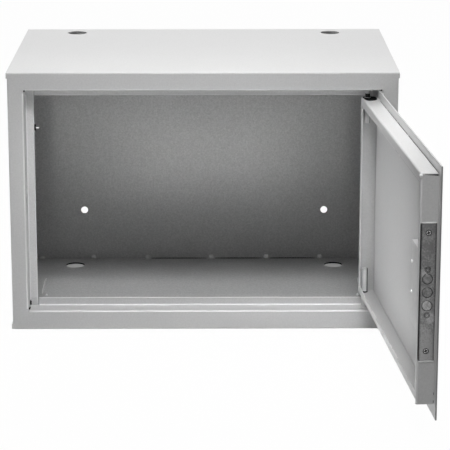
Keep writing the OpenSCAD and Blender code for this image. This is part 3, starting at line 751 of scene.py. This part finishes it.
# Lock case: a tray of zinc-plated sheet with a riveted cover, pale and matt from the plating bath.
# It is screwed to the faceplate behind the lock stile, and carries the lever post.
def pale_plate(name, tone, rough):
    material, tree = new_finish(name)
    spangle = mottle(tree, 160, 4, 0.6)
    value = reckon(tree, "MULTIPLY", graded(tree, spangle, 0.3, 0.7, 0.93, 1.06), tone)
    rough = graded(tree, spangle, 0.3, 0.7, rough, rough + 0.12)
    coated(tree, grey_of(tree, value), rough, spangle, 0.1, 0.2)
    return material


pale_zinc = pale_plate("pale_zinc", 0.72, 0.42)
for piece in ("lock_case", "lock_cover"):
    finish_node(piece, pale_zinc, 0.0002)
finish_node("lever_post", bright_zinc, 0.0002)
finish_node("pivot_spacer", pale_zinc, 0.0002)

cover_out = 0.0075
rivet_x = -0.4565
rivets = bmesh.new()
for rivet_z in (0.234, 0.192):
    turned(rivets, [(0, -0.0022), (0.0015, -0.0022), (0.0015, 0), (0.0022, 0), (0.0022, 0.0006),
                    (0.0019, 0.0012), (0.0012, 0.0016), (0, 0.0018)], 32,
           Matrix.Translation((rivet_x, cover_out, rivet_z)) @ Matrix.Rotation(math.radians(-90), 4, "X"))
domed_rivets = made_piece("domed_rivets", rivets, bright_zinc, door_place)
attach(domed_rivets, "door")
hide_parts("cover_rivets")

# Lock faceplate: a thick plated strip let into the stile, darker at the top and paler below, paler in two
# patches beside the upper bolt and the lower case screw, and darkened along both sides as painted shade.
plate_face = -0.5125
plate_low = 0.111
plate_high = 0.301
plate_mid_x = 0.2989
upper_patch = (0.2905, -0.6989, 0.2325)
lower_patch = (0.3035, -0.6979, 0.1715)
patch_r = 0.0062


def mottled_plate(name):
    material, tree = new_finish(name)
    place, across, _, height = object_place(tree)
    blotch = mottle(tree, 75, 5, 0.62)
    speck = mottle(tree, 420, 3, 0.6)
    fade = graded(tree, height, plate_low, plate_high, 1.0, 0.0)
    uneven = reckon(tree, "SUBTRACT", blotch, 0.5)
    plate_level = reckon(tree, "MULTIPLY_ADD", uneven, 2.6, fade)
    plate_level = reckon(tree, "MULTIPLY_ADD", reckon(tree, "SUBTRACT", speck, 0.5), 2.4, plate_level)
    value = graded(tree, plate_level, 0.0, 1.0, 0.13, 0.275)
    for centre in (upper_patch, lower_patch):
        away = tree.nodes.new("ShaderNodeVectorMath")
        away.operation = "DISTANCE"
        away.inputs[1].default_value = centre
        tree.links.new(place, away.inputs[0])
        ragged = reckon(tree, "MULTIPLY_ADD", uneven, 0.022, away.outputs["Value"])
        paler_patch = graded(tree, ragged, patch_r - 0.0012, patch_r, 0.09, 0.0)
        value = reckon(tree, "ADD", value, paler_patch)
    # painted shade: the plate is darkened along both sides
    off_middle = reckon(tree, "ABSOLUTE", reckon(tree, "SUBTRACT", across, plate_mid_x))
    side_shade = reckon(tree, "MULTIPLY_ADD", uneven, 0.004, off_middle)
    value = reckon(tree, "MULTIPLY", value, graded(tree, side_shade, 0.0080, 0.0102, 1.0, 0.4))
    coated(tree, grey_of(tree, value), graded(tree, blotch, 0.3, 0.7, 0.42, 0.6), speck, 0.2, 0.8)
    return material


mottled_zinc = mottled_plate("mottled_zinc")
finish_node("lock_faceplate", mottled_zinc, 0.0002)

bolt_y = -0.00325
bolt_gap = 0.00705
bolt_hole = 0.00745
strip_x = plate_face + 0.0012
strip_y = 0.00695


def on_plate(height):
    return Matrix.Translation((plate_face, bolt_y, height)) @ Matrix.Rotation(math.radians(-90), 4, "Y")


# Painted shade: a black strip in the gap beside the faceplate and black rings in the gaps round the bolts.
plate_sides = bmesh.new()
seam_strip(plate_sides, (strip_x, strip_y, plate_low + 0.001),
           (strip_x, strip_y, plate_high - 0.001), 0.0016, 0.0009)
for bolt_z in (0.1875, 0.206, 0.2245):
    turned(plate_sides, [(bolt_gap, -0.0012), (bolt_gap, -0.0006), (bolt_hole, -0.0006), (bolt_hole, -0.0012),
                         (bolt_gap, -0.0012)], 48, on_plate(bolt_z))
plate_gap = made_piece("plate_gap", plate_sides, shade_black, door_place)
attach(plate_gap, "door")

# Painted highlight: rounded ridges in the pale powder along the top and bottom cut edges of the faceplate
# window.
window_edges = bmesh.new()
for edge_z in (plate_low - 0.0006, plate_high + 0.0006):
    weld_run(window_edges, (frame_free - 0.0002, frame_edge + 0.0004, edge_z),
             (frame_free - 0.0002, 0.0066, edge_z), 0.0011, 0.15)
window_edge_highlights = made_piece("window_edge_highlights", window_edges, highlight_powder, door_place)
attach(window_edge_highlights, "door")

# Screws of the lock: two countersunk cross-recess screws hold the faceplate to the stile, sunk below it.
# The two that hold the case are peened over flush, which leaves a ring and a dimple.
plate_screw_heights = (0.1245, 0.2875)
case_screw_heights = (0.1745, 0.2375)
screw_turn = 20
shank_r = 0.002


def cross_screw(shape, head_r, sunk, recess_r, slot_half, recess_depth):
    sides = 32
    rim = ring(shape, head_r, -sunk, sides)
    cross = []
    for arm in range(4):
        swing = Matrix.Rotation(math.radians(90 * arm + screw_turn), 3, "Z")
        for spot in ((recess_r, -slot_half), (recess_r, slot_half), (slot_half, slot_half)):
            cross.append(shape.verts.new(swing @ Vector((spot[0], spot[1], -sunk))))
    loops = [shape.edges.new((row[i], row[(i + 1) % len(row)]))
             for row in (rim, cross) for i in range(len(row))]
    bmesh.ops.triangle_fill(shape, use_beauty=True, use_dissolve=False, edges=loops)
    floor = [shape.verts.new((corner.co.x * 0.6, corner.co.y * 0.6, -sunk - recess_depth))
             for corner in cross]
    bridge(shape, [cross, floor])
    shape.faces.new(floor)
    rows = [rim]
    for radius, depth in ((head_r + 0.0003, sunk + 0.0003), (shank_r, 0.0030), (shank_r, 0.006)):
        rows.append(ring(shape, radius, -depth, sides))
    bridge(shape, rows)
    shape.faces.new(rows[-1])


worn_zinc = plated_steel("worn_zinc", 0.5, 0.12, 0.16, 0.3, 700)
screws = bmesh.new()
for screw_z in plate_screw_heights:
    screw = bmesh.new()
    cross_screw(screw, 0.0031, 0.0006, 0.0025, 0.0007, 0.0016)
    screw.transform(on_plate(screw_z))
    single = bpy.data.meshes.new("screw")
    screw.to_mesh(single)
    screw.free()
    screws.from_mesh(single)
    bpy.data.meshes.remove(single)
countersunk_screws = made_piece("countersunk_screws", screws, worn_zinc, door_place)
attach(countersunk_screws, "door")
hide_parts("faceplate_screws")

peened = bmesh.new()
for screw_z in case_screw_heights:
    turned(peened, [(0, -0.0007), (0.0006, -0.0006), (0.0011, -0.0001), (0.0021, 0.0), (0.0024, -0.0005),
                    (0.0028, -0.0001), (0.0034, -0.0001), (0.0037, -0.0006), (0.0037, -0.0018),
                    (shank_r, -0.0018), (shank_r, -0.0054), (0, -0.0054)], 32, on_plate(screw_z))
peened_screws = made_piece("peened_screws", peened, mottled_zinc, door_place)
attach(peened_screws, "door")
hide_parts("case_screws")

# Painted shade in the screws: black pieces in the cross recesses, round the sunk heads and in the rings
# and dimples of the peened ends.
recess_shade = bmesh.new()


def shade_ring(inner, outer, depth, screw_z):
    turned(recess_shade, [(inner, -depth - 0.0003), (inner, -depth), (outer, -depth), (outer, -depth - 0.0003),
                   (inner, -depth - 0.0003)], 32, on_plate(screw_z))


seat_r = 0.00405
shade_bar = [(-0.0006, -0.0003), (0.0006, -0.0003), (0.0006, 0.0003), (-0.0006, 0.0003)]
for screw_z in plate_screw_heights:
    shade_ring(0.0033, seat_r, 0.0005, screw_z)
    for arm_turn in (screw_turn, screw_turn + 90):
        swing = on_plate(screw_z) @ Matrix.Rotation(math.radians(arm_turn), 4, "Z")
        start, end = swing @ Vector((-0.0023, 0, -0.0012)), swing @ Vector((0.0023, 0, -0.0012))
        wide, deep = swing.to_3x3() @ Vector((0, 1, 0)), swing.to_3x3() @ Vector((0, 0, 1))
        prism(recess_shade, shade_bar, start, end, wide, deep)
for screw_z in case_screw_heights:
    shade_ring(0.0037, seat_r, 0.0002, screw_z)
    shade_ring(0.0021, 0.0027, 0.0002, screw_z)
screw_shade = made_piece("screw_shade", recess_shade, shade_black, door_place)
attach(screw_shade, "door")

# Lock works: three round steel bolts on a carriage, with a stump that runs in a pack of brass levers.
# The bolts are flush with the faceplate when drawn, and dull grey; the lowest is the palest.
bolt_steel = plated_steel("bolt_steel", 0.2, 0.1, 0.38, 0.52, 340)
pale_bolt_steel = plated_steel("pale_bolt_steel", 0.34, 0.18, 0.34, 0.48, 340)
for piece in ("upper_bolt", "middle_bolt"):
    finish_node(piece, bolt_steel, 0.0002)
finish_node("lower_bolt", pale_bolt_steel, 0.0002)
for piece in ("bolt_carriage", "bolt_stump"):
    finish_node(piece, bright_zinc, 0.0002)


def rolled_brass(name):
    material, tree = new_finish(name)
    tarnish = mottle(tree, 240, 5, 0.6)
    tone = tree.nodes.new("ShaderNodeValToRGB")
    tone.color_ramp.elements[0].position = 0.35
    tone.color_ramp.elements[0].color = (0.50, 0.34, 0.12, 1)
    tone.color_ramp.elements[1].position = 0.65
    tone.color_ramp.elements[1].color = (0.72, 0.54, 0.24, 1)
    tree.links.new(tarnish, tone.inputs["Fac"])
    coated(tree, tone.outputs["Color"], graded(tree, tarnish, 0.3, 0.7, 0.28, 0.42), tarnish, 0.1, 1.0)
    return material


finish_node("levers", rolled_brass("rolled_brass"), 0.0002)
